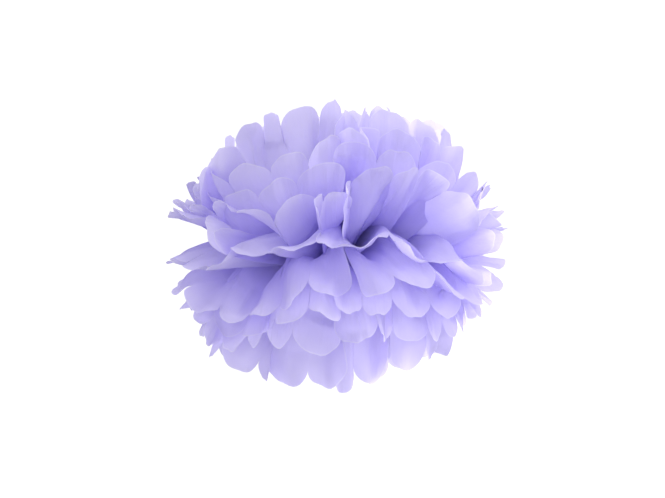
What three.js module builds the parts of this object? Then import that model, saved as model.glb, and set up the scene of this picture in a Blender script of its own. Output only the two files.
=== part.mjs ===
// Tissue paper pom pom: a stack of pleated tissue sheets, tied across the middle with wire. Each end of a
// sheet is cut round pleat by pleat, fanned out about the tie, and lifted or lowered, so that the sheets
// together fill a ball.
//
// Millimetres, +Z up. The origin is the middle of the tie, by which the pom pom is held. The sheets run
// along X: one fan opens towards +X and one towards -X, and they part at the front (-Y) and the back (+Y).

import * as THREE from "three";

// Driving dimensions of the paper
const HALF_LENGTH = 178; // from the tie to the tip of a rounded pleat
const PLEAT_WIDTH = 42; // width of one pleat, between two folds
const RING_FILL = 0.9; // share of half a ring at the rim that a sheet's pleats fill, when opened flat
const PAPER = 0.5; // thickness across the fan's surface
const LIFTS = [4, 15, 27, 40, 58]; // degrees that the sheets of one half stand off level

// How the pleats open
const OPENED = 0.93; // share of its width that a pleat opens to at the rim of a level fan
const LEAST_SEAM = 2; // degrees that the two fans keep apart at the front and back
const GATHER_LENGTH = 55; // distance from the tie at which a pleat has its full depth
const FAN_TURN = 6; // length over which a fold turns from along the stack to its place in the fan
const LIFT_TURN = 30; // length over which a sheet bends up or down from the tie
const AXIS_SHARE = 0.6; // the most of its distance from the Z axis that a fold moves in or out

// The gathered stack inside the tie
const WAIST_WIDTH = 18;
const TIE_PLEAT_DEPTH = 0.8; // height of a crushed pleat
const SHEET_GAP = 0.3; // clear height between two sheets

// The tie
const WIRE = 1; // diameter
const WIRE_BEND = 2.5; // radius of the wire's middle round the stack's edges
const WIRE_CLEARANCE = 0.3; // between the wire and the stack's edges, and between its two strands
const TAIL_LENGTH = 20; // twisted ends of the wire, behind the stack
const TAIL_TURNS = 3;

const TISSUE_COLOUR = 0xbcb1f0;
const WIRE_COLOUR = 0xb9bac0;

// Steps of the faceted surfaces
const BODY_STATIONS = [0.05, 0.13, 0.27, 0.52]; // shares of the half length, between the tie and the notches
const PATH_STEPS = 360; // steps of a fold's path along the half length
const WIRE_SIDES = 8;
const WIRE_STEPS = 76; // along the whole wire
const TURN_STEPS = 8; // points of each turn of the wire's tail
const BEND_STEPS = 3; // steps of each bend of the wire's loop

// Sizes that follow from them
const PLEATS = 2 * Math.round((RING_FILL * Math.PI * HALF_LENGTH) / PLEAT_WIDTH / 2); // across one sheet
const SHEETS = 2 * LIFTS.length;
const SHEET_PITCH = PAPER + SHEET_GAP;
const STACK_HEIGHT = (SHEETS - 1) * SHEET_PITCH + TIE_PLEAT_DEPTH + PAPER;
const CORE_TURN = THREE.MathUtils.degToRad(180 - LEAST_SEAM) / PLEATS; // between two folds, seen from above
const TIE_RUN = WIRE / 2 + WIRE_CLEARANCE; // from the middle to where the sheets leave the tie
const ROUND_SHARE = PLEAT_WIDTH / 2 / HALF_LENGTH; // the rounded end, as a share of the half length
const NOTCH = 1 - ROUND_SHARE;
const SHOULDER = 1 - ROUND_SHARE * (1 - Math.SQRT1_2);
const STATIONS = [0, TIE_RUN / HALF_LENGTH, ...BODY_STATIONS, NOTCH, SHOULDER, 1];

const smooth = (share) => THREE.MathUtils.smoothstep(share, 0, 1);

// The places of one fold at each of the stations, on the fan towards +X, with the direction across the
// fan's surface there. Even folds stand above the fan's mean surface and odd folds below it. All sheets
// leave the tie at the same angles. On a sheet that is nearly level the pleats aren't wide enough to close
// the ring, so its folds draw together on their way out.
function foldPath(fold, liftDegrees, stackHeight) {
  const lift = THREE.MathUtils.degToRad(liftDegrees);
  const rimTurn = Math.min((OPENED * PLEAT_WIDTH) / (HALF_LENGTH * Math.cos(lift)), CORE_TURN);
  const drawing = 2 * (rimTurn - CORE_TURN);
  const point = new THREE.Vector3(0, WAIST_WIDTH * (fold / PLEATS - 0.5), stackHeight);
  const step = HALF_LENGTH / PATH_STEPS;
  const side = fold % 2 === 0 ? 1 : -1;
  const path = [];
  let outward = 0; // distance run level from the tie
  let spacing = WAIST_WIDTH / PLEATS; // between two folds
  for (let k = 0; k <= PATH_STEPS; k++) {
    const along = k * step;
    const free = along - TIE_RUN; // distance run since the tie
    const turn = CORE_TURN * smooth(free / FAN_TURN) + drawing * smooth(free / HALF_LENGTH);
    const azimuth = turn * (fold - PLEATS / 2);
    const rise = lift * smooth(free / LIFT_TURN);
    const across = new THREE.Vector3(
      -Math.sin(rise) * Math.cos(azimuth),
      -Math.sin(rise) * Math.sin(azimuth),
      Math.cos(rise),
    );
    const fullDepth = Math.sqrt(Math.max(0, PLEAT_WIDTH ** 2 - spacing ** 2));
    const depth = THREE.MathUtils.lerp(TIE_PLEAT_DEPTH, fullDepth, smooth(free / GATHER_LENGTH));
    const offset = Math.min(depth / 2, TIE_PLEAT_DEPTH / 2 + AXIS_SHARE * outward);
    path.push({ point: point.clone().addScaledVector(across, side * offset), across });
    point.x += step * Math.cos(rise) * Math.cos(azimuth);
    point.y += step * Math.cos(rise) * Math.sin(azimuth);
    point.z += step * Math.sin(rise);
    outward += step * Math.cos(rise);
    spacing += step * Math.cos(rise) * turn;
  }
  return STATIONS.map((share) => path[Math.ceil(share * PATH_STEPS)]);
}

// A place between two folds: share 0 is the first fold and share 1 the second.
function between(first, second, share) {
  return {
    point: first.point.clone().lerp(second.point, share),
    across: first.across.clone().lerp(second.across, share).normalize(),
  };
}

// The same place on the fan towards -X.
function mirrored({ point, across }) {
  return {
    point: new THREE.Vector3(-point.x, point.y, point.z),
    across: new THREE.Vector3(-across.x, across.y, across.z),
  };
}

// Gives a patchwork of triangles the thickness of the paper: each place becomes two vertices, one on each
// face, and each edge that only one triangle uses gets a rim.
class PaperSolid {
  constructor() {
    this.positions = [];
    this.index = [];
    this.edges = new Map();
  }

  place({ point, across }) {
    for (const side of [1, -1]) {
      const face = point.clone().addScaledVector(across, (side * PAPER) / 2);
      this.positions.push(face.x, face.y, face.z);
    }
    return this.positions.length / 6 - 1;
  }

  triangle(a, b, c) {
    this.index.push(2 * a, 2 * b, 2 * c, 2 * a + 1, 2 * c + 1, 2 * b + 1);
    for (const [from, to] of [[a, b], [b, c], [c, a]]) {
      if (!this.edges.delete(`${to} ${from}`)) this.edges.set(`${from} ${to}`, [from, to]);
    }
  }

  // A flat run of places in order, counter-clockwise seen from above.
  polygon(places) {
    for (let k = 1; k < places.length - 1; k++) this.triangle(places[0], places[k], places[k + 1]);
  }

  geometry() {
    for (const [from, to] of this.edges.values()) {
      this.index.push(2 * from, 2 * from + 1, 2 * to + 1, 2 * from, 2 * to + 1, 2 * to);
    }
    const made = new THREE.BufferGeometry();
    made.setAttribute("position", new THREE.Float32BufferAttribute(this.positions, 3));
    made.setIndex(this.index);
    made.computeVertexNormals();
    return made;
  }
}

// One sheet: a grid of folds and stations from the tips of one fan, through the tie, to the tips of the
// other, and a rounded end on each pleat.
function sheetGeometry(liftDegrees, stackHeight) {
  const solid = new PaperSolid();
  const folds = [];
  for (let fold = 0; fold <= PLEATS; fold++) folds.push(foldPath(fold, liftDegrees, stackHeight));

  const notch = STATIONS.indexOf(NOTCH);
  const shoulder = notch + 1;
  const tip = notch + 2;
  const rows = folds.map((stations) => {
    const outTo = stations.slice(0, notch + 1);
    const left = outTo.slice(1).reverse().map(mirrored);
    return [...left, ...outTo].map((place) => solid.place(place));
  });

  for (let pleat = 0; pleat < PLEATS; pleat++) {
    const row = rows[pleat];
    const next = rows[pleat + 1];
    for (let k = 0; k < row.length - 1; k++) {
      solid.polygon([row[k], row[k + 1], next[k + 1], next[k]]);
    }
    const first = folds[pleat];
    const second = folds[pleat + 1];
    const near = (1 - Math.SQRT1_2) / 2;
    const end = [
      between(first[shoulder], second[shoulder], near),
      between(first[tip], second[tip], 0.5),
      between(first[shoulder], second[shoulder], 1 - near),
    ];
    const right = end.map((place) => solid.place(place));
    const left = end.map((place) => solid.place(mirrored(place)));
    solid.polygon([row.at(-1), ...right, next.at(-1)]);
    solid.polygon([next[0], ...left.reverse(), row[0]]);
  }
  return solid.geometry();
}

// The wire goes once round the stack, and its ends are twisted together behind it.
function wireGeometry() {
  // Along Y and Z, from the middle of a bend to the stack's edge
  const cornerReach = (WIRE_BEND - WIRE / 2 - WIRE_CLEARANCE) * Math.SQRT1_2;
  const centreY = WAIST_WIDTH / 2 - cornerReach;
  const centreZ = STACK_HEIGHT / 2 - cornerReach;
  const loop = [];
  for (let quarter = 0; quarter < 4; quarter++) {
    const towardsBack = quarter === 0 || quarter === 3 ? 1 : -1;
    const upwards = quarter < 2 ? 1 : -1;
    for (let k = 0; k <= BEND_STEPS; k++) {
      const angle = (Math.PI / 2) * (quarter + k / BEND_STEPS);
      const y = towardsBack * centreY + WIRE_BEND * Math.cos(angle);
      const z = upwards * centreZ + WIRE_BEND * Math.sin(angle);
      loop.push(new THREE.Vector3(0, y, z));
    }
  }

  const strandRadius = (WIRE + WIRE_CLEARANCE) / 2; // from the tail's middle to each strand's
  const tailStart = centreY + WIRE_BEND + 2 * WIRE;
  const strand = (phase) => {
    const points = [];
    for (let k = 0; k <= TAIL_TURNS * TURN_STEPS; k++) {
      const angle = (2 * Math.PI * k) / TURN_STEPS + phase;
      const y = tailStart + (TAIL_LENGTH * k) / (TAIL_TURNS * TURN_STEPS);
      points.push(new THREE.Vector3(strandRadius * Math.cos(angle), y, strandRadius * Math.sin(angle)));
    }
    return points;
  };

  const path = new THREE.CatmullRomCurve3([
    ...strand(Math.PI / 2).reverse(),
    ...loop,
    ...strand(-Math.PI / 2),
  ]);
  const section = new THREE.Shape().absarc(0, 0, WIRE / 2, 0, 2 * Math.PI);
  return new THREE.ExtrudeGeometry(section, {
    steps: WIRE_STEPS,
    curveSegments: WIRE_SIDES / 2, // an arc has two sides for each
    extrudePath: path,
  });
}

function piece(name, geometry, material) {
  const mesh = new THREE.Mesh(geometry, material);
  mesh.name = name;
  return mesh;
}

const tissue = new THREE.MeshStandardMaterial({ color: TISSUE_COLOUR, roughness: 0.9, metalness: 0 });
const steel = new THREE.MeshStandardMaterial({ color: WIRE_COLOUR, roughness: 0.35, metalness: 1 });

const pomPom = new THREE.Group();
LIFTS.forEach((lift, k) => {
  const height = (k + 0.5) * SHEET_PITCH;
  pomPom.add(piece(`upper_sheet_${k + 1}`, sheetGeometry(lift, height), tissue));
  pomPom.add(piece(`lower_sheet_${k + 1}`, sheetGeometry(-lift, -height), tissue));
});
pomPom.add(piece("wire_tie", wireGeometry(), steel));

export default pomPom;
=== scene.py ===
# %% [markdown]
# # Tissue paper pom pom
# A pom pom is a stack of tissue sheets, folded like an accordion, tied in the middle with wire and cut
# round at both ends. Then each end is fanned open, and the layers are pulled apart, half of them up and
# half of them down, until they fill a ball. This lesson builds it in the same order: the cut sheet first,
# then how its pleats are pulled, then the paper between the folds, and the finish, light and camera last.
# The CAD frame is loaded first, because it says where the tie is and how large the ball may be.

# %% Load the frame
import math

import bpy
import numpy as np
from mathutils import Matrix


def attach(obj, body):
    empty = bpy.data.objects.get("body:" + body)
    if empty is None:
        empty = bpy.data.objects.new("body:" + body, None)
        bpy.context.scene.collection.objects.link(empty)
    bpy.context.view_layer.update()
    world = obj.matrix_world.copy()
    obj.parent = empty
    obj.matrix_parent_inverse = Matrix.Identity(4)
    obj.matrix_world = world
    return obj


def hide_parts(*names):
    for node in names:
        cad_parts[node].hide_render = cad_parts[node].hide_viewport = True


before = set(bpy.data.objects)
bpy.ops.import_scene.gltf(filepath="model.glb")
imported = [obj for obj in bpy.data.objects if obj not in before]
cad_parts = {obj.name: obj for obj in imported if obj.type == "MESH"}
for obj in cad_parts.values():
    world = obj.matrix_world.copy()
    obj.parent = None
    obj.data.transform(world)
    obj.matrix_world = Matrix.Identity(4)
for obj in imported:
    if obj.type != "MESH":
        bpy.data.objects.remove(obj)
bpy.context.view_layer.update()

# %% [markdown]
# ## The cut sheet
# These are the sizes that the paper was cut and folded to, in metres. Everything that is made later is a
# place on this flat sheet, moved: a point is named by its pleat, by how far across the pleat it lies, and
# by how far along the paper it is from the tie. That keeps it close to the length that it was cut to,
# however it bends.

# %% Sizes of the sheet
HALF_LENGTH = 0.178  # from the tie to the tip of a rounded pleat
PLEAT_WIDTH = 0.042
PLEATS = 12
FOLDS = PLEATS + 1
ROUND_LENGTH = PLEAT_WIDTH / 2  # length of the rounded end
WAIST_WIDTH = 0.018  # the crushed stack inside the tie
SHEET_PITCH = 0.0008  # height from one sheet to the next inside the tie
CRUSHED_DEPTH = 0.0008  # height of a pleat inside the tie

LIFTS = (4, 15, 27, 40, 58)  # degrees that the sheets of the upper half stand off level
LEVELS = tuple(-lift for lift in reversed(LIFTS)) + LIFTS
UPPER_NAMES = [f"upper_sheet_{k + 1}" for k in range(len(LIFTS))]
LOWER_NAMES = [f"lower_sheet_{k + 1}" for k in range(len(LIFTS))]
SHEET_NAMES = LOWER_NAMES[::-1] + UPPER_NAMES  # from the lowest to the highest
FANS = ("left", "right")
print(len(SHEET_NAMES), "sheets of", PLEATS, "pleats")

# %% [markdown]
# ## The camera
# The camera stands level with the ball, in front of the seam where the left and the right fan meet. It
# comes this early because it also answers a question: which way must a petal point to be seen at a given
# place in the picture? A petal that is as long as the paper can only point one way towards the viewer.

# %% Camera
PICTURE_WIDTH = 665
PICTURE_HEIGHT = 498
TIE_PIXEL = (337, 243)  # where the middle of the tie is seen
METRES_PER_PIXEL = 0.001026  # at the distance of the tie
CAMERA_DISTANCE = 1.4
CAMERA_RISE = 2  # degrees

camera_data = bpy.data.cameras.new("camera")
camera = bpy.data.objects.new("camera", camera_data)
bpy.context.scene.collection.objects.link(camera)
bpy.context.scene.camera = camera
camera_data.sensor_fit = "HORIZONTAL"
camera_data.lens = camera_data.sensor_width * CAMERA_DISTANCE / (PICTURE_WIDTH * METRES_PER_PIXEL)
camera.rotation_euler = (math.radians(90 - CAMERA_RISE), 0, 0)
aim_x = (PICTURE_WIDTH / 2 - TIE_PIXEL[0]) * METRES_PER_PIXEL
aim_z = (TIE_PIXEL[1] - PICTURE_HEIGHT / 2) * METRES_PER_PIXEL
camera.location = (
    aim_x,
    -CAMERA_DISTANCE * math.cos(math.radians(CAMERA_RISE)),
    aim_z + CAMERA_DISTANCE * math.sin(math.radians(CAMERA_RISE)),
)
print("lens", round(camera_data.lens, 1), "mm")


def pointing(pixel, reach, fan):
    """Azimuth from the fan's own axis and elevation, in degrees, of a tip that is seen at that pixel."""
    across = (pixel[0] - TIE_PIXEL[0]) * METRES_PER_PIXEL
    above = (TIE_PIXEL[1] - pixel[1]) * METRES_PER_PIXEL
    seen = across**2 + above**2
    half_b = seen / CAMERA_DISTANCE
    a = 1 + seen / CAMERA_DISTANCE**2
    root = half_b**2 - a * (seen - reach**2)
    y = min(0.0, (-half_b - math.sqrt(max(0.0, root))) / a)
    nearer = 1 + y / CAMERA_DISTANCE
    outward = across * nearer * (-1 if FANS[fan] == "left" else 1)
    up = math.atan2(above * nearer, math.hypot(outward, y))
    return math.degrees(math.atan2(y, outward)), math.degrees(up) - CAMERA_RISE * y / reach


# %% [markdown]
# ## How the pleats are pulled
# No two pleats of a real pom pom point the same way, because each is pulled by hand. The plan of the ball
# is three tables, one value for each pleat of each fan of each sheet: the azimuth and the elevation of its
# tip, and how much it curls on its way there. The tables start out even. Then seeded random numbers
# disturb them, and last come the petals that are seen best, each of which is placed by the pixel where its
# tip shows.

# %% Even plan with disturbance
SEED = 7
OPENED = 0.93  # share of its width that a pleat opens to at the rim of a level fan
LEAST_SEAM = 2  # degrees that the two fans keep apart near the tie
CORE_TURN = (180 - LEAST_SEAM) / PLEATS
FRONT_CURL = 58  # degrees that a petal bends along its length at the front and the back
SIDE_CURL = {4: 12, 15: 22, 27: 70, 40: 90, 58: 90}  # the same at the sides, by the sheet's lift
SIDE_RISE = 9  # degrees that the highest and the lowest sheet stand steeper at the sides
MIDDLE_FANS = {  # azimuth of the front, middle and back fold of the two middle sheets, and their elevation
    ("upper_sheet_1", "left"): (-58, 22, 84, 10),
    ("upper_sheet_1", "right"): (-31, 40, 86, 5),
    ("lower_sheet_1", "left"): (-82, 2, 78, -6),
    ("lower_sheet_1", "right"): (-98, -12, 74, -6),
}
MIDDLE_CURL = 0.4  # share of their curl that the two middle sheets keep
AZIMUTH_SPREAD = 1.6  # degrees
RISE_SPREAD = 1.5  # degrees
CURL_SPREAD = 0.16
WAVE_HEIGHT = 2.5  # degrees that the rim of a sheet rises and falls
WAVE_PACE = 1.7  # of that wave, for each turn about the tie
CALM_SHARE = 0.4  # of the rise and fall, in the two middle sheets

rng = np.random.default_rng(SEED)
plan_shape = (len(SHEET_NAMES), len(FANS), PLEATS)
levels = np.array(LEVELS, float)
rim_turn = np.minimum(
    np.degrees(OPENED * PLEAT_WIDTH / HALF_LENGTH / np.cos(np.radians(levels))), CORE_TURN
)
pleat_places = np.arange(PLEATS) - (PLEATS - 1) / 2
azimuth = np.broadcast_to(rim_turn[:, None, None] * pleat_places, plan_shape).copy()
elevation = np.broadcast_to(levels[:, None, None], plan_shape).copy()
for (sheet_name, fan_name), (*turns, rise) in MIDDLE_FANS.items():
    place = (SHEET_NAMES.index(sheet_name), FANS.index(fan_name))
    edges = np.interp(np.arange(FOLDS), (0, PLEATS / 2, PLEATS), turns)
    azimuth[place] = (edges[:-1] + edges[1:]) / 2
    elevation[place] = rise
facing = np.sin(np.radians(np.abs(azimuth)))  # 0 at the sides, 1 at the front and back
steeper = np.where(np.abs(levels) == LIFTS[-1], np.sign(levels), 0) * SIDE_RISE
elevation += steeper[:, None, None] * (1 - facing**2)
side_curl = np.array([SIDE_CURL[abs(level)] for level in LEVELS])[:, None, None]
curl = np.sign(levels)[:, None, None] * (side_curl + (FRONT_CURL - side_curl) * facing**2)
for sheet_name in ("upper_sheet_1", "lower_sheet_1"):
    curl[SHEET_NAMES.index(sheet_name)] *= MIDDLE_CURL

azimuth += rng.normal(0, AZIMUTH_SPREAD, plan_shape)
wave = rng.uniform(0, 2 * math.pi, plan_shape[:2])[:, :, None]
loose = np.where(np.abs(levels) > LIFTS[0], 1, CALM_SHARE)[:, None, None]
elevation += WAVE_HEIGHT * loose * np.sin(np.radians(azimuth) * WAVE_PACE + wave)
elevation += loose * rng.normal(0, RISE_SPREAD, plan_shape)
curl *= rng.normal(1, CURL_SPREAD, plan_shape)
print("tips planned:", azimuth.size)

# %% [markdown]
# ## Walking along the paper
# A fold leaves the tie level, bends up or down within a few centimetres and curls towards its tip. Walking
# along it in short steps, each as long on the flat paper as in space, keeps its length. A curled petal
# reaches less far than a straight one, so the walk also says how far from the tie a tip can be.

# %% Walk along a fold
STEPS = 120
TIE_RUN = 0.0008  # the paper stays straight this far from the middle of the tie
LIFT_TURN = 0.030  # length over which a sheet bends up or down
CURL_START = 0.35  # share of the length from which a petal curls
CURL_POWER = 1.3  # above 1, it curls more towards its tip
run = np.linspace(0, HALF_LENGTH, STEPS + 1)


def smooth(value):
    value = np.clip(value, 0, 1)
    return value * value * (3 - 2 * value)


def walk(start_rise, bend):
    """Outward distance, height and slope along folds that rise at one angle and then bend, in degrees."""
    free = np.clip(run - TIE_RUN, 0, None)
    late = np.clip((run / HALF_LENGTH - CURL_START) / (1 - CURL_START), 0, None)
    angle = np.radians(start_rise[:, None] * smooth(free / LIFT_TURN) + bend[:, None] * late**CURL_POWER)
    step = HALF_LENGTH / STEPS
    outward = np.cumsum(np.cos(angle), axis=1) * step
    height = np.cumsum(np.sin(angle), axis=1) * step
    return outward - outward[:, :1], height - height[:, :1], angle


def tip_reach(bend):
    """Straight distance from the tie to the tip of a petal that bends that far."""
    outward, height, _ = walk(np.zeros(1), np.array([float(bend)]))
    return math.hypot(outward[0, -1], height[0, -1])


print("reach of a curled petal, metres:", round(tip_reach(FRONT_CURL), 4))

# %% [markdown]
# ## The petals that are seen best
# A maker pulls some petals into place by hand, and here that is done with a list. Each petal has the pixel
# of its tip, the share of its width that it is opened to, where 1 is flat, and in some cases the degrees
# that it curls. Pleats are counted from the front. A placed petal also draws its neighbours along, because
# they share a fold with it.

# %% Petals that are seen best
SEEN_PETALS = {
    ("upper_sheet_5", "left"): {
        0: (331, 98, 0.35), 1: (301, 108, 0.95), 2: (271, 109, 0.45), 3: (248, 118, 0.8), 4: (215, 160, 0.9),
        5: (207, 172, 0.6),
    },
    ("upper_sheet_4", "left"): {
        0: (323, 136, 0.8), 1: (287, 154, 0.95), 2: (243, 161, 0.85), 3: (212, 170, 0.6),
    },
    ("upper_sheet_3", "left"): {
        0: (321, 161, 0.8), 1: (272, 180, 0.9), 2: (237, 196, 0.85), 3: (205, 190, 0.5),
    },
    ("upper_sheet_2", "left"): {
        0: (331, 192, 0.88), 1: (316, 197, 0.1), 2: (294, 196, 0.95), 3: (246, 210, 0.95, 8),
        4: (218, 209, 0.8, 14), 6: (176, 199, 0.9),
    },
    ("upper_sheet_1", "left"): {
        0: (214, 233, 0.75, 25), 1: (204, 232, 0.3, 10), 2: (186, 212, 0.9, 8), 3: (173, 209, 0.9, 8),
    },
    ("lower_sheet_1", "left"): {
        0: (288, 248, 0.97, 22), 1: (240, 258, 0.97, 14), 2: (210, 258, 0.95, 8), 3: (184, 268, 0.95, 8),
        5: (163, 262, 0.95, 6),
    },
    ("lower_sheet_2", "left"): {
        0: (330, 300, 0.8), 1: (290, 307, 0.8), 2: (257, 335, 0.92), 3: (226, 323, 0.92),
        5: (168, 294, 0.9, 12),
    },
    ("lower_sheet_3", "left"): {
        0: (322, 318, 0.85, 18), 1: (290, 324, 0.6), 2: (256, 342, 0.9), 3: (224, 338, 0.8),
        5: (172, 314, 0.8),
    },
    ("lower_sheet_4", "left"): {
        0: (316, 357, 0.9), 1: (276, 345, 0.8), 2: (258, 362, 0.7), 3: (228, 353, 0.8), 4: (200, 344, 0.7),
    },
    ("lower_sheet_5", "left"): {
        0: (328, 380, 0.9), 1: (291, 398, 0.9), 2: (262, 384, 0.9), 3: (236, 373, 0.8), 4: (209, 354, 0.7),
    },
    ("upper_sheet_5", "right"): {
        0: (345, 109, 0.7), 1: (364, 106, 0.5), 2: (389, 105, 0.9), 3: (423, 120, 0.9), 4: (442, 134, 0.7),
    },
    ("upper_sheet_4", "right"): {
        0: (349, 128, 0.5), 1: (366, 126, 0.4), 2: (400, 130, 0.9), 3: (430, 136, 0.9), 4: (455, 146, 0.9),
    },
    ("upper_sheet_3", "right"): {
        0: (355, 141, 0.85), 1: (400, 150, 0.8), 2: (440, 162, 0.8), 3: (475, 171, 0.7), 4: (484, 181, 0.4),
    },
    ("upper_sheet_2", "right"): {
        0: (348, 192, 0.15), 1: (374, 167, 0.85), 2: (416, 158, 0.4), 3: (440, 176, 0.7), 4: (476, 196, 0.7),
        5: (497, 219, 0.6),
    },
    ("upper_sheet_1", "right"): {0: (497, 238, 0.25), 1: (503, 240, 0.25)},
    ("lower_sheet_1", "right"): {
        0: (332, 248, 0.88, 20), 1: (371, 245, 0.97, -8), 2: (414, 252, 0.95, 8), 3: (452, 262, 0.8),
        4: (486, 279, 0.4), 5: (493, 281, 0.3),
    },
    ("lower_sheet_2", "right"): {
        0: (382, 298, 0.85), 1: (422, 288, 0.9), 2: (458, 297, 0.7), 3: (482, 308, 0.5),
    },
    ("lower_sheet_3", "right"): {
        0: (350, 316, 0.75, 18), 1: (378, 317, 0.8), 2: (416, 318, 0.95), 4: (471, 322, 0.5),
    },
    ("lower_sheet_4", "right"): {
        0: (360, 347, 0.95), 1: (383, 341, 0.4), 2: (414, 346, 0.8), 4: (453, 338, 0.8),
    },
    ("lower_sheet_5", "right"): {
        0: (345, 395, 0.7), 1: (370, 385, 0.6), 2: (388, 379, 0.4), 3: (407, 374, 0.8), 4: (437, 355, 0.8),
    },
}
FOLLOW_WIDTH = 1.1  # in pleats, how far a placed petal draws its neighbours along
PLACED_CURL = 52  # the most that a placed petal curls
FARTHEST = 0.98  # share of its reach that a petal's tip may be seen away from the tie
LESS_CURL = 0.8  # share of its curl that a petal keeps each time that it reaches too short

placed = np.zeros(plan_shape, bool)
opened = np.full(plan_shape, np.nan)
wanted_pixels = np.zeros((*plan_shape, 2))
for (sheet_name, fan_name), petals in SEEN_PETALS.items():
    sheet = SHEET_NAMES.index(sheet_name)
    fan = FANS.index(fan_name)
    shifts = np.zeros((2, PLEATS))
    weights = np.zeros(PLEATS)
    directions = {}
    for pleat, (pixel_x, pixel_y, share, *bend) in petals.items():
        place = (sheet, fan, pleat)
        distance = math.dist((pixel_x, pixel_y), TIE_PIXEL) * METRES_PER_PIXEL
        curl[place] = np.clip(curl[place], -PLACED_CURL, PLACED_CURL)
        if bend:
            curl[place] = bend[0] * np.sign(levels[sheet])
        while tip_reach(curl[place]) * FARTHEST < distance and abs(curl[place]) > SIDE_CURL[4]:
            curl[place] *= LESS_CURL
        placed[place] = True
        opened[place] = share
        wanted_pixels[place] = (pixel_x, pixel_y)
        directions[pleat] = np.array(pointing((pixel_x, pixel_y), tip_reach(curl[place]), fan))
        shift = directions[pleat] - (azimuth[place], elevation[place])
        weight = np.exp(-(((np.arange(PLEATS) - pleat) / FOLLOW_WIDTH) ** 2))
        shifts += weight * shift[:, None]
        weights += weight
    followed = shifts / np.maximum(weights, 1)
    azimuth[sheet, fan] += followed[0]
    elevation[sheet, fan] += followed[1]
    for pleat, direction in directions.items():
        azimuth[sheet, fan, pleat], elevation[sheet, fan, pleat] = direction
print("petals placed:", placed.sum())

# %% [markdown]
# ## Where the folds end
# The plan gives the middles of the pleats, but the paper is shaped by its folds. At the rim, the folds of
# a fan and the pleats between them are like a chain of rods: each rod is at most as long as a pleat is
# wide, its middle is pulled to where the plan wants it, and it may lean, which makes the zigzag. Going
# through the rods again and again, and mending each a little, lets the chain settle. All twenty chains are
# mended at once.

# %% Fold ends
CHAIN_ROUNDS = 300
PLACED_PULL = 0.5  # share of its error that a placed petal's middle is mended by
PLAN_PULL = 0.08
OPEN_PULL = 0.15
SPREAD_PULL = 0.1  # towards leaning as far as the paper is wide
SLIVER = 0.5  # a placed petal of a low sheet that is opened more than this leans as its neighbours ask,
PINCHED = 0.12  # and so does one that is opened less than this
LOW_SHEETS = np.abs(levels) < 30
CHAIN_SHARE = 0.93  # of the half length, where the chain lies
FULL_STEP = math.degrees(PLEAT_WIDTH / (CHAIN_SHARE * HALF_LENGTH))  # degrees that a whole pleat takes there
LEAST_STEP = 2.0  # degrees between two folds
START_ZIGZAG = 2.0  # degrees that the folds start above and below the plan
CLOSED_SHEETS = np.abs(levels) > 20  # their two fans meet at the front and at the back
CLOSED_EDGE = 91.5
BACK_PULL = 0.3


def to_folds(values):
    """Values of the pleats, carried over to the folds between them and at the two free edges."""
    inner = (values[..., :-1] + values[..., 1:]) / 2
    first = values[..., :1] - (values[..., 1:2] - values[..., :1]) / 2
    last = values[..., -1:] + (values[..., -1:] - values[..., -2:-1]) / 2
    return np.concatenate([first, inner, last], axis=-1)


def settle_folds():
    """Azimuth and elevation, in degrees, of the ends of all folds."""
    side = np.where(np.arange(FOLDS) % 2 == 0, 1, -1)
    ends = np.stack([to_folds(azimuth), to_folds(elevation) + START_ZIGZAG * side], axis=-1)
    plan = np.stack([azimuth, elevation], axis=-1)
    pull = np.where(placed, PLACED_PULL, PLAN_PULL)[..., None]
    level = np.cos(np.radians(elevation))
    asked = LOW_SHEETS[:, None, None] & ((opened >= SLIVER) | (opened <= PINCHED))
    spread = np.where(asked, 0, SPREAD_PULL)
    for turn in range(2 * CHAIN_ROUNDS):
        rods = np.arange(turn % 2, PLEATS, 2)
        middle = (ends[:, :, rods] + ends[:, :, rods + 1]) / 2
        middle += (pull * (plan - middle_of(ends)))[:, :, rods]
        turned = (ends[:, :, rods + 1, 0] - ends[:, :, rods, 0]) * level[:, :, rods]
        raised = ends[:, :, rods + 1, 1] - ends[:, :, rods, 1]
        share = opened[:, :, rods]
        turned += np.where(np.isnan(share), 0, OPEN_PULL * (np.nan_to_num(share) * FULL_STEP - turned))
        turned = np.clip(turned, LEAST_STEP, FULL_STEP)
        most = np.sqrt(FULL_STEP**2 - turned**2)
        lean = most * np.where(rods % 2 == 0, -1, 1)
        raised = np.clip(raised + spread[:, :, rods] * (lean - raised), -most, most)
        half = np.stack([turned / level[:, :, rods], raised], axis=-1) / 2
        ends[:, :, rods] = middle - half
        ends[:, :, rods + 1] = middle + half
        front = ends[CLOSED_SHEETS, :, 0, 0]
        ends[CLOSED_SHEETS, :, 0, 0] = np.minimum(front, -CLOSED_EDGE)
        back = ends[CLOSED_SHEETS, :, -1, 0]
        ends[CLOSED_SHEETS, :, -1, 0] = np.maximum(back, back + BACK_PULL * (CLOSED_EDGE - back))
    return ends


def middle_of(ends):
    return (ends[:, :, :-1] + ends[:, :, 1:]) / 2


fold_ends = settle_folds()
error = (middle_of(fold_ends) - np.stack([azimuth, elevation], axis=-1))[placed]
print("placed middles are off by, degrees:", np.round(np.abs(error).mean(axis=0), 2))

# %% [markdown]
# ## Along the folds
# With the ends known, each fold is walked without its zigzag first. Then it moves up or down, across the
# fan. Near the tie it moves as far as the paper of its two pleats has to go, and at the rim to where the
# chain has put it. Deep pleats fit into those of the next sheet only while both have their folds at the
# same angles, so the folds keep common angles over the first part of their length. Farther out, where
# petals are aimed, the sheets do cross each other. Cloth simulation with collisions could part them, but
# would move the petals.

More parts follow.
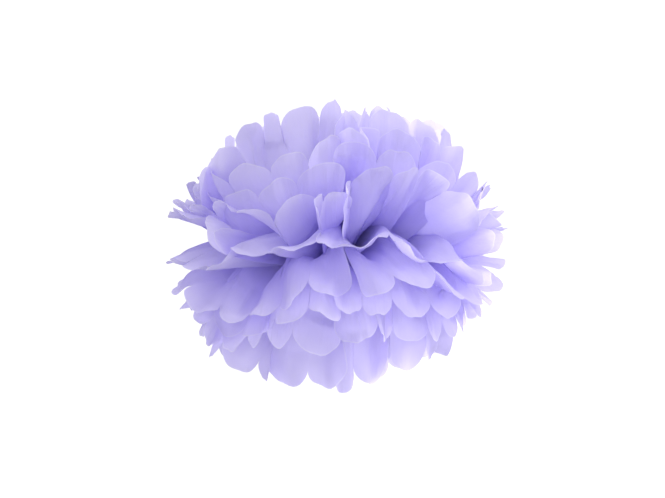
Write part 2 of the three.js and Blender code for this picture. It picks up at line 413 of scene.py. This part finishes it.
# %% Fold paths
FAN_TURN = 0.006  # length over which a fold turns into the fan
GATHER_LENGTH = 0.055  # a pleat has its full depth from here on
AXIS_SHARE = 0.6  # the most of its distance from the tie that a fold moves up or down
LATE_SWING = 0.3  # share of its length from which a fold swings to its own place in the fan
EARLY_SHEET = "upper_sheet_2"  # shows whole petals at the front, so its folds part from the tie on
STRAIGHT_SHEET = "upper_sheet_1"  # its spikes at the sides run straight out from the tie
EARLY_PACE = 1.4  # how much sooner than at the rim the folds of the early sheet are in place
RISE_ROUNDS = 5  # of mending the rise near the tie until the tip is as high as planned
WAIST_LOSS = 0.8  # share of its place inside the tie that a fold gives up
WAIST_LENGTH = 0.06  # length over which it does
RIM_REACH = 0.95  # share of the half length that a curled petal reaches, about


def fold_paths(sheet, fan):
    """Places of the folds of one fan and the directions across the fan there."""
    turned = fold_ends[sheet, fan, :, 0]
    raised = to_folds(middle_of(fold_ends)[sheet, fan, :, 1])
    bent = to_folds(curl[sheet, fan])
    rise = raised - bent / 2
    for _ in range(RISE_ROUNDS):
        outward, height, angle = walk(rise, bent)
        rise += raised - np.degrees(np.arctan2(height[:, -1], outward[:, -1]))
    outward, height, angle = walk(rise, bent)

    core = CORE_TURN * (np.arange(FOLDS) - PLEATS / 2)
    if SHEET_NAMES[sheet] == STRAIGHT_SHEET:
        core = turned
    settle = smooth((run / HALF_LENGTH - LATE_SWING) / (1 - LATE_SWING))
    if SHEET_NAMES[sheet] == EARLY_SHEET:
        settle = smooth(run / HALF_LENGTH * EARLY_PACE)
    swing = core[:, None] * smooth((run - TIE_RUN) / FAN_TURN) + (turned - core)[:, None] * settle
    swing = np.radians(swing)
    keep = 1 - WAIST_LOSS * smooth(run / WAIST_LENGTH)
    waist = WAIST_WIDTH * (np.arange(FOLDS) / PLEATS - 0.5)
    stack_height = (sheet - (len(SHEET_NAMES) - 1) / 2) * SHEET_PITCH
    mean = np.stack(
        [
            outward * np.cos(swing),
            outward * np.sin(swing) + waist[:, None] * keep,
            height + stack_height * keep,
        ],
        axis=-1,
    )
    across = np.stack(
        [-np.sin(angle) * np.cos(swing), -np.sin(angle) * np.sin(swing), np.cos(angle)], axis=-1
    )

    spacing = np.linalg.norm(np.diff(mean, axis=0), axis=-1)
    depth = np.sqrt(np.clip(PLEAT_WIDTH**2 - spacing**2, 0, None))
    padded = np.concatenate([depth[:1], depth, depth[-1:]])
    half_depth = (padded[:-1] + padded[1:]) / 4
    gathered = CRUSHED_DEPTH / 2 + (half_depth - CRUSHED_DEPTH / 2) * smooth(run / GATHER_LENGTH)
    zigzag = np.minimum(gathered, CRUSHED_DEPTH / 2 + AXIS_SHARE * np.abs(outward))
    zigzag = np.where(np.arange(FOLDS) % 2 == 0, 1, -1)[:, None] * zigzag
    at_rim = np.radians(fold_ends[sheet, fan, :, 1] - raised) * RIM_REACH * HALF_LENGTH
    zigzag = zigzag + (at_rim - zigzag[:, -1])[:, None] * smooth(run / HALF_LENGTH)
    places = mean + across * zigzag[..., None]
    if FANS[fan] == "left":
        places[..., 0] *= -1
        across[..., 0] *= -1
    return places, across


# %% [markdown]
# ## Paper between the folds
# Where two folds are nearer to each other than the pleat is wide, the paper between them bows. It may bow
# only so far, so a tightly folded pleat comes out narrower than it was cut. Shallow ripples and a few
# crisp creases run along the paper, and its rim flutters. A modifier could do the ripples, but then they
# would cross the folds.

# %% Sheet surface
COLUMNS = 16  # in each pleat
ROWS = 56  # in each half
MOST_BOW = 0.34  # share of the distance between two folds
TWIST = 0.004
RIPPLE = 0.0005
FLUTTER = 0.0016
CREASES = 3  # in each pleat
CREASE_PLACES = (0.15, 0.85)  # shares of the way across a pleat
CREASE_LEAN = 0.12
CREASE_TURN = 0.7  # share of the length where a leaning crease is in its place
CREASE_HALF_WIDTH = 0.16
CREASE_HEIGHT = 0.001
UNEVEN_CUT = 0.0012
CUPPED = (  # petals near the middle of the picture that bow up, 1, or sag, -1
    ("upper_sheet_2", "left", 0, 1),
    ("upper_sheet_2", "left", 1, 0.1),
    ("upper_sheet_2", "left", 2, -0.6),
    ("upper_sheet_2", "right", 0, 0.1),
    ("lower_sheet_2", "left", 0, -0.5),
    ("lower_sheet_1", "left", 0, -0.4),
    ("lower_sheet_1", "right", 0, -0.3),
)


def cut_length(share, uneven):
    """Length of the paper from the tie to the cut, at a share of the way across a pleat."""
    rounded = np.sqrt(np.clip(1 - (2 * share - 1) ** 2, 0, None))
    return HALF_LENGTH - ROUND_LENGTH + (ROUND_LENGTH - UNEVEN_CUT + uneven) * rounded


def ripples(width_place, length_place, count, wavelengths, slant):
    """A sum of shallow waves over the flat sheet, about 1 high."""
    total = np.zeros(np.broadcast(width_place, length_place).shape)
    for _ in range(count):
        number = 2 * math.pi / rng.uniform(*wavelengths)
        lean = rng.normal(0, slant)
        total += np.sin(number * (width_place + lean * length_place) + rng.uniform(0, 2 * math.pi))
    return total / math.sqrt(count)


def creases(share, length_share, pleat):
    """Crisp ridges and grooves that run from the tie outward, about 1 high."""
    total = np.zeros(length_share.shape)
    for _ in range(CREASES):
        place = rng.uniform(*CREASE_PLACES, PLEATS)[pleat][:, None]
        lean = rng.normal(0, CREASE_LEAN, PLEATS)[pleat][:, None]
        height = rng.normal(0, 1, PLEATS)[pleat][:, None]
        away = np.abs(share[:, None] - place - lean * (length_share - CREASE_TURN))
        total += height * np.clip(1 - away / CREASE_HALF_WIDTH, 0, None)
    return total


bow_side = rng.choice([-1, 1], plan_shape) * rng.uniform(0.3, 1, plan_shape)
for sheet_name, fan_name, pleat, side in CUPPED:
    bow_side[SHEET_NAMES.index(sheet_name), FANS.index(fan_name), pleat] = side


def between_folds(sheet, fan, pleat, share, along):
    """Places of the bowed paper and its normals, at shares across pleats and lengths from the tie."""
    folds, across = fold_paths(sheet, fan)
    position = np.clip(along / HALF_LENGTH * STEPS, 0, STEPS)
    low = np.minimum(position.astype(int), STEPS - 1)
    part = (position - low)[..., None]

    def read(table, fold):
        first = table[fold[:, None], low]
        second = table[fold[:, None], low + 1]
        return first + (second - first) * part, second - first

    near, near_step = read(folds, pleat)
    far, far_step = read(folds, pleat + 1)
    chord = far - near
    mix = share[:, None, None]
    heading = near_step + (far_step - near_step) * mix
    up = read(across, pleat)[0] * (1 - mix) + read(across, pleat + 1)[0] * mix
    normal = np.cross(heading, chord)
    normal /= np.maximum(np.linalg.norm(normal, axis=-1, keepdims=True), 1e-12)
    normal *= np.where(np.sum(normal * up, axis=-1, keepdims=True) < 0, -1, 1)

    width = np.linalg.norm(chord, axis=-1)
    slack = np.clip(PLEAT_WIDTH - width, 0, None)
    bow = np.minimum(np.sqrt(width * slack) * 2 / math.pi, MOST_BOW * width)
    bow *= bow_side[sheet, fan, pleat][:, None] * smooth(along / HALF_LENGTH)
    bow *= np.sin(math.pi * share)[:, None]
    return near + chord * mix + normal * bow[..., None], normal


# %% [markdown]
# ## Aiming again
# A tip doesn't come out quite where it was aimed at, because the chain and the bow move it. So the aim is
# corrected by what it missed, as with a bow and arrow, and the chains settle anew.

# %% Aim the placed petals
AIM_ROUNDS = 4
AIM_SHARE = 0.7  # of the miss, added to the aim
MOST_AIM = 12  # pixels that the aim may be off the wanted place


def seen_at(point):
    """Pixel where a point is seen."""
    nearer = 1 + point[1] / CAMERA_DISTANCE
    rise = math.radians(CAMERA_RISE)
    above = point[2] * math.cos(rise) + point[1] * math.sin(rise)
    return np.array([TIE_PIXEL[0], TIE_PIXEL[1]]) + np.array([point[0], -above]) / nearer / METRES_PER_PIXEL


aims = wanted_pixels.copy()
for _ in range(AIM_ROUNDS):
    misses = []
    for sheet, fan in np.ndindex(plan_shape[:2]):
        pleats = np.flatnonzero(placed[sheet, fan])
        half_way = np.full(len(pleats), 0.5)
        tips, _ = between_folds(sheet, fan, pleats, half_way, np.full((len(pleats), 1), HALF_LENGTH))
        for pleat, tip in zip(pleats, tips[:, 0]):
            place = (sheet, fan, pleat)
            miss = wanted_pixels[place] - seen_at(tip)
            misses.append(np.hypot(*miss))
            aims[place] += AIM_SHARE * miss
            off = np.clip(aims[place] - wanted_pixels[place], -MOST_AIM, MOST_AIM)
            aims[place] = wanted_pixels[place] + off
            azimuth[place], elevation[place] = pointing(aims[place], tip_reach(curl[place]), fan)
    fold_ends = settle_folds()
    print("tips miss by, pixels:", round(np.mean(misses), 1), "at most", round(max(misses), 1))

# %% [markdown]
# ## One grid for each sheet
# The whole sheet is one grid: columns across the pleats, rows from the tips of the left fan through the
# tie to the tips of the right fan. The rows of a column end where the scissors cut it, which gives each
# pleat its round end with no extra faces. The columns lie closer together towards the folds, so that the
# round ends have no corners. The flat place of each point is kept as its UV, for the finish.

# %% Sheet halves
CUT_WAVES = (0.012, 0.05)  # shortest and longest wave, in metres
FINE_WAVES = (0.008, 0.03)
LONG_WAVES = (0.05, 0.11)
RIM_WAVES = (0.02, 0.05)
ROW_CROWDING = 1.1  # above 1, the rows lie closer together near the tie


def sheet_half(sheet, fan):
    """Places of one half of a sheet, as columns by rows, with the lengths from the tie."""
    column = np.arange(PLEATS * COLUMNS + 1)
    pleat = np.minimum(column // COLUMNS, PLEATS - 1)
    share = (1 - np.cos(math.pi * (column - pleat * COLUMNS) / COLUMNS)) / 2
    flat_width = ((pleat + share) * PLEAT_WIDTH)[:, None]
    uneven = UNEVEN_CUT * ripples(flat_width[:, 0], 0, count=6, wavelengths=CUT_WAVES, slant=0)
    along = cut_length(share, uneven)[:, None] * np.linspace(0, 1, ROWS + 1) ** ROW_CROWDING
    place, normal = between_folds(sheet, fan, pleat, share, along)

    length_share = along / HALF_LENGTH
    outer = smooth(length_share)
    twist = rng.normal(0, TWIST, PLEATS)
    inside = np.sin(math.pi * share)[:, None]  # 0 at the folds
    lift = twist[pleat][:, None] * np.sin(2 * math.pi * (share[:, None] - 0.5)) / 2 * outer**2
    fine = ripples(flat_width, along, count=7, wavelengths=FINE_WAVES, slant=0.12)
    lift += RIPPLE * outer * fine
    long = ripples(along, flat_width, count=4, wavelengths=LONG_WAVES, slant=0.4)
    lift += 2 * RIPPLE * outer * long
    rim = ripples(flat_width, along, count=5, wavelengths=RIM_WAVES, slant=0.5)
    lift += FLUTTER * length_share**6 * rim
    lift += CREASE_HEIGHT * outer * inside * creases(share, length_share, pleat)
    return place + normal * lift[..., None], along, flat_width


def sheet_mesh(sheet):
    """One sheet as a grid mesh, with its flat places as UV and the distance to the cut as an attribute."""
    left, left_along, flat_width = sheet_half(sheet, FANS.index("left"))
    right, right_along, _ = sheet_half(sheet, FANS.index("right"))
    right[:, 0] = left[:, 0]
    places = np.concatenate([left[:, :0:-1], right], axis=1)
    flat_length = np.concatenate([-left_along[:, :0:-1], right_along], axis=1)
    ends = np.where(flat_length < 0, -flat_length[:, :1], flat_length[:, -1:])
    to_cut = ends - np.abs(flat_length)
    from_side = np.minimum(flat_width, PLEATS * PLEAT_WIDTH - flat_width)
    to_cut = np.minimum(to_cut, from_side)

    columns, rows = flat_length.shape
    corner = (np.arange(columns - 1)[:, None] * rows + np.arange(rows - 1)).ravel()
    faces = np.stack([corner, corner + rows, corner + rows + 1, corner + 1], axis=1)
    mesh = bpy.data.meshes.new(SHEET_NAMES[sheet] + "_paper")
    mesh.from_pydata(places.reshape(-1, 3).tolist(), [], faces.tolist())
    mesh.polygons.foreach_set("use_smooth", np.ones(len(faces), bool))

    corners = np.zeros(len(mesh.loops), int)
    mesh.loops.foreach_get("vertex_index", corners)
    flat = np.stack([np.broadcast_to(flat_width, flat_length.shape), flat_length], axis=-1).reshape(-1, 2)
    uv = mesh.uv_layers.new(name="flat_sheet")
    uv.data.foreach_set("uv", flat[corners].ravel())
    # The distance to the cut is also the mask of the painted highlight along the cut edges
    cut = mesh.attributes.new("to_cut", "FLOAT", "POINT")
    cut.data.foreach_set("value", to_cut.ravel())
    return mesh


# %% [markdown]
# ## Tissue finish
# Tissue is thin enough for light to come through. A Translucent shader mixed with a diffuse one does that:
# more than half of the light that a petal doesn't soak up goes on to the petals behind it, and gets more
# violet each time. That is why the heart of the ball is deep violet and its rim is nearly white, with one
# colour for nearly all of it. The clouds and fibres of the paper are noise on the flat sheet, so they run
# with the paper. Along the cut edges the colour is painted paler. That is a painted highlight for the light
# that the edges catch.

# %% Tissue material
TISSUE = (0.75, 0.70, 0.99)
TISSUE_CLOUD = (0.79, 0.745, 0.99)
# Painted highlight: the paler colour that the paper turns to near its cut edges, for the light that the
# edges catch
PAINTED_EDGE_HIGHLIGHT = (0.87, 0.845, 0.99)
THROUGH = 0.6  # share of the light that goes through
COLOUR_A = 6  # sockets of a Mix node that mixes colours
COLOUR_B = 7
COLOUR_OUT = 2


def node(tree, kind, **inputs):
    made = tree.nodes.new(kind)
    for name, value in inputs.items():
        made.inputs[name.replace("_", " ")].default_value = value
    return made


def tissue_material():
    material = bpy.data.materials.new("tissue")
    material.use_nodes = True
    tree = material.node_tree
    tree.nodes.clear()
    link = tree.links.new

    flat = tree.nodes.new("ShaderNodeUVMap")
    flat.uv_map = "flat_sheet"
    clouds = node(tree, "ShaderNodeTexNoise", Scale=90.0, Detail=4.0, Roughness=0.6)
    link(flat.outputs["UV"], clouds.inputs["Vector"])
    paper = node(tree, "ShaderNodeMix")
    paper.data_type = "RGBA"
    paper.inputs[COLOUR_A].default_value = (*TISSUE, 1)
    paper.inputs[COLOUR_B].default_value = (*TISSUE_CLOUD, 1)
    link(clouds.outputs["Fac"], paper.inputs[0])

    # Painted highlight: within about 1.5 mm of the cut, the colour turns up to three quarters of the way to
    # the paler edge colour, for the light that the cut edges catch
    to_cut = tree.nodes.new("ShaderNodeAttribute")
    to_cut.attribute_name = "to_cut"
    rim = tree.nodes.new("ShaderNodeMapRange")
    rim.inputs["From Min"].default_value = 0.0004
    rim.inputs["From Max"].default_value = 0.0015
    rim.inputs["To Min"].default_value = 0.75
    rim.inputs["To Max"].default_value = 0
    link(to_cut.outputs["Fac"], rim.inputs["Value"])
    highlighted_edges = node(tree, "ShaderNodeMix")
    highlighted_edges.data_type = "RGBA"
    highlighted_edges.inputs[COLOUR_B].default_value = (*PAINTED_EDGE_HIGHLIGHT, 1)
    link(rim.outputs["Result"], highlighted_edges.inputs[0])
    link(paper.outputs[COLOUR_OUT], highlighted_edges.inputs[COLOUR_A])

    stretch = tree.nodes.new("ShaderNodeMapping")
    stretch.inputs["Scale"].default_value = (300, 16, 1)
    link(flat.outputs["UV"], stretch.inputs["Vector"])
    creases = node(tree, "ShaderNodeTexNoise", Scale=1.0, Detail=3.0, Roughness=0.55)
    link(stretch.outputs["Vector"], creases.inputs["Vector"])
    fibres = node(tree, "ShaderNodeTexNoise", Scale=900.0, Detail=2.0, Roughness=0.7)
    link(flat.outputs["UV"], fibres.inputs["Vector"])
    crease_bump = node(tree, "ShaderNodeBump", Strength=0.6, Distance=0.0012)
    link(creases.outputs["Fac"], crease_bump.inputs["Height"])
    fibre_bump = node(tree, "ShaderNodeBump", Strength=0.25, Distance=0.0003)
    link(fibres.outputs["Fac"], fibre_bump.inputs["Height"])
    link(crease_bump.outputs["Normal"], fibre_bump.inputs["Normal"])

    front = node(tree, "ShaderNodeBsdfPrincipled", Roughness=0.85)
    front.inputs["Specular IOR Level"].default_value = 0.15
    through = tree.nodes.new("ShaderNodeBsdfTranslucent")
    for shader, colour in ((front, "Base Color"), (through, "Color")):
        link(highlighted_edges.outputs[COLOUR_OUT], shader.inputs[colour])
        link(fibre_bump.outputs["Normal"], shader.inputs["Normal"])
    both = node(tree, "ShaderNodeMixShader")
    both.inputs[0].default_value = THROUGH
    link(front.outputs[0], both.inputs[1])
    link(through.outputs[0], both.inputs[2])
    output = tree.nodes.new("ShaderNodeOutputMaterial")
    link(both.outputs[0], output.inputs["Surface"])
    return material


tissue = tissue_material()
print("tissue nodes", len(tissue.node_tree.nodes))

# %% [markdown]
# ## The ten sheets
# Each sheet replaces its plain CAD solid and rides on the one body.

for sheet, sheet_name in enumerate(SHEET_NAMES):
    mesh = sheet_mesh(sheet)
    mesh.materials.append(tissue)
    piece = bpy.data.objects.new(sheet_name + "_paper", mesh)
    bpy.context.scene.collection.objects.link(piece)
    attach(piece, "root")
    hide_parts(sheet_name)
    print(piece.name, len(mesh.polygons), "faces")

# %% [markdown]
# ## The tie
# The wire hides in the heart of the ball. Its CAD solid has the right shape, so it stays and only gets a
# finish: bright drawn steel, with the fine lengthwise streaks that drawing leaves.

# %% Wire material
STEEL = (0.72, 0.72, 0.74, 1)


def wire_material():
    material = bpy.data.materials.new("drawn_wire")
    material.use_nodes = True
    tree = material.node_tree
    shader = tree.nodes["Principled BSDF"]
    shader.inputs["Metallic"].default_value = 1
    place = tree.nodes.new("ShaderNodeTexCoord")
    streaks = node(tree, "ShaderNodeTexNoise", Scale=2500.0, Detail=3.0, Roughness=0.6)
    tree.links.new(place.outputs["Object"], streaks.inputs["Vector"])
    shade = tree.nodes.new("ShaderNodeValToRGB")
    shade.color_ramp.elements[0].color = (0.5, 0.5, 0.52, 1)
    shade.color_ramp.elements[1].color = STEEL
    tree.links.new(streaks.outputs["Fac"], shade.inputs["Fac"])
    tree.links.new(shade.outputs["Color"], shader.inputs["Base Color"])
    rough = tree.nodes.new("ShaderNodeMapRange")
    rough.inputs["To Min"].default_value = 0.22
    rough.inputs["To Max"].default_value = 0.45
    tree.links.new(streaks.outputs["Fac"], rough.inputs["Value"])
    tree.links.new(rough.outputs["Result"], shader.inputs["Roughness"])
    return material


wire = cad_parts["wire_tie"]
wire.data.materials.clear()
wire.data.materials.append(wire_material())
print("wire faces", len(wire.data.polygons))

# %% [markdown]
# ## Studio
# The ball hangs, so the floor lies below it, out of the picture, and runs up into a backdrop without an
# edge. The camera sees both as white, but their own light on the ball is only what a grey floor gives
# back.

# %% Floor, backdrop and light
FLOOR_HEIGHT = -0.42
FLOOR_FRONT = -4.0
FLOOR_BACK = 2.5
WALL_RADIUS = 1.2
WALL_TOP = 3.5
STAGE_HALF_WIDTH = 5.0
BEND_STEPS = 16

profile = [(FLOOR_FRONT, FLOOR_HEIGHT)]
for k in range(BEND_STEPS + 1):
    angle = math.pi / 2 * k / BEND_STEPS
    profile.append(
        (
            FLOOR_BACK - WALL_RADIUS + WALL_RADIUS * math.sin(angle),
            FLOOR_HEIGHT + WALL_RADIUS - WALL_RADIUS * math.cos(angle),
        )
    )
profile.append((FLOOR_BACK, WALL_TOP))
stage_points = [(x, y, z) for y, z in profile for x in (-STAGE_HALF_WIDTH, STAGE_HALF_WIDTH)]
stage_faces = [(2 * k, 2 * k + 1, 2 * k + 3, 2 * k + 2) for k in range(len(profile) - 1)]
stage_mesh = bpy.data.meshes.new("floor_and_backdrop")
stage_mesh.from_pydata(stage_points, [], stage_faces)
stage_mesh.polygons.foreach_set("use_smooth", np.ones(len(stage_faces), bool))
stage = bpy.data.objects.new("floor_and_backdrop", stage_mesh)
bpy.context.scene.collection.objects.link(stage)


def seen_directly(tree):
    """A factor that is 1 for what the camera sees itself, or in a reflection or through glass."""
    rays = tree.nodes.new("ShaderNodeLightPath")
    factor = rays.outputs["Is Camera Ray"]
    for other in ("Is Glossy Ray", "Is Transmission Ray"):
        most = tree.nodes.new("ShaderNodeMath")
        most.operation = "MAXIMUM"
        tree.links.new(factor, most.inputs[0])
        tree.links.new(rays.outputs[other], most.inputs[1])
        factor = most.outputs[0]
    return factor


FLOOR_GREY = (0.5, 0.5, 0.51, 1)
FLOOR_GLOW = 0.8
floor_material = bpy.data.materials.new("pale_floor")
floor_material.use_nodes = True
floor_tree = floor_material.node_tree
floor_tree.nodes["Principled BSDF"].inputs["Base Color"].default_value = FLOOR_GREY
floor_tree.nodes["Principled BSDF"].inputs["Roughness"].default_value = 0.9
glow = node(floor_tree, "ShaderNodeEmission")
brightness = floor_tree.nodes.new("ShaderNodeMath")
brightness.operation = "MULTIPLY"
brightness.inputs[1].default_value = FLOOR_GLOW
floor_tree.links.new(seen_directly(floor_tree), brightness.inputs[0])
floor_tree.links.new(brightness.outputs[0], glow.inputs["Strength"])
lit = floor_tree.nodes.new("ShaderNodeAddShader")
floor_tree.links.new(floor_tree.nodes["Principled BSDF"].outputs[0], lit.inputs[0])
floor_tree.links.new(glow.outputs[0], lit.inputs[1])
floor_tree.links.new(lit.outputs[0], floor_tree.nodes["Material Output"].inputs["Surface"])
stage_mesh.materials.append(floor_material)

WORLD_LIGHT = 0.53
world = bpy.data.worlds.new("studio")
bpy.context.scene.world = world
world.use_nodes = True
sky = world.node_tree.nodes["Background"]
sky.inputs["Color"].default_value = (1, 1, 1, 1)
strength = world.node_tree.nodes.new("ShaderNodeMapRange")
strength.inputs["To Min"].default_value = WORLD_LIGHT
strength.inputs["To Max"].default_value = 1
world.node_tree.links.new(seen_directly(world.node_tree), strength.inputs["Value"])
world.node_tree.links.new(strength.outputs["Result"], sky.inputs["Strength"])


def soft_lamp(name, place, size, watts):
    data = bpy.data.lights.new(name, "AREA")
    data.shape = "DISK"
    data.size = size
    data.energy = watts
    lamp = bpy.data.objects.new(name, data)
    lamp.location = place
    direction = np.array(place) / np.linalg.norm(place)
    turn = math.atan2(direction[1], direction[0]) + math.pi / 2
    lamp.rotation_euler = (math.acos(direction[2]), 0, turn)
    bpy.context.scene.collection.objects.link(lamp)


soft_lamp("key_lamp", (1.6, -0.4, 0.4), 1.0, 15)
soft_lamp("back_lamp", (1.1, 1.2, 0.1), 1.0, 13)
soft_lamp("front_lamp", (-0.3, -2.2, 0.3), 1.0, 10)

bpy.context.scene.view_settings.view_transform = "Standard"
print("stage and lamps ready")
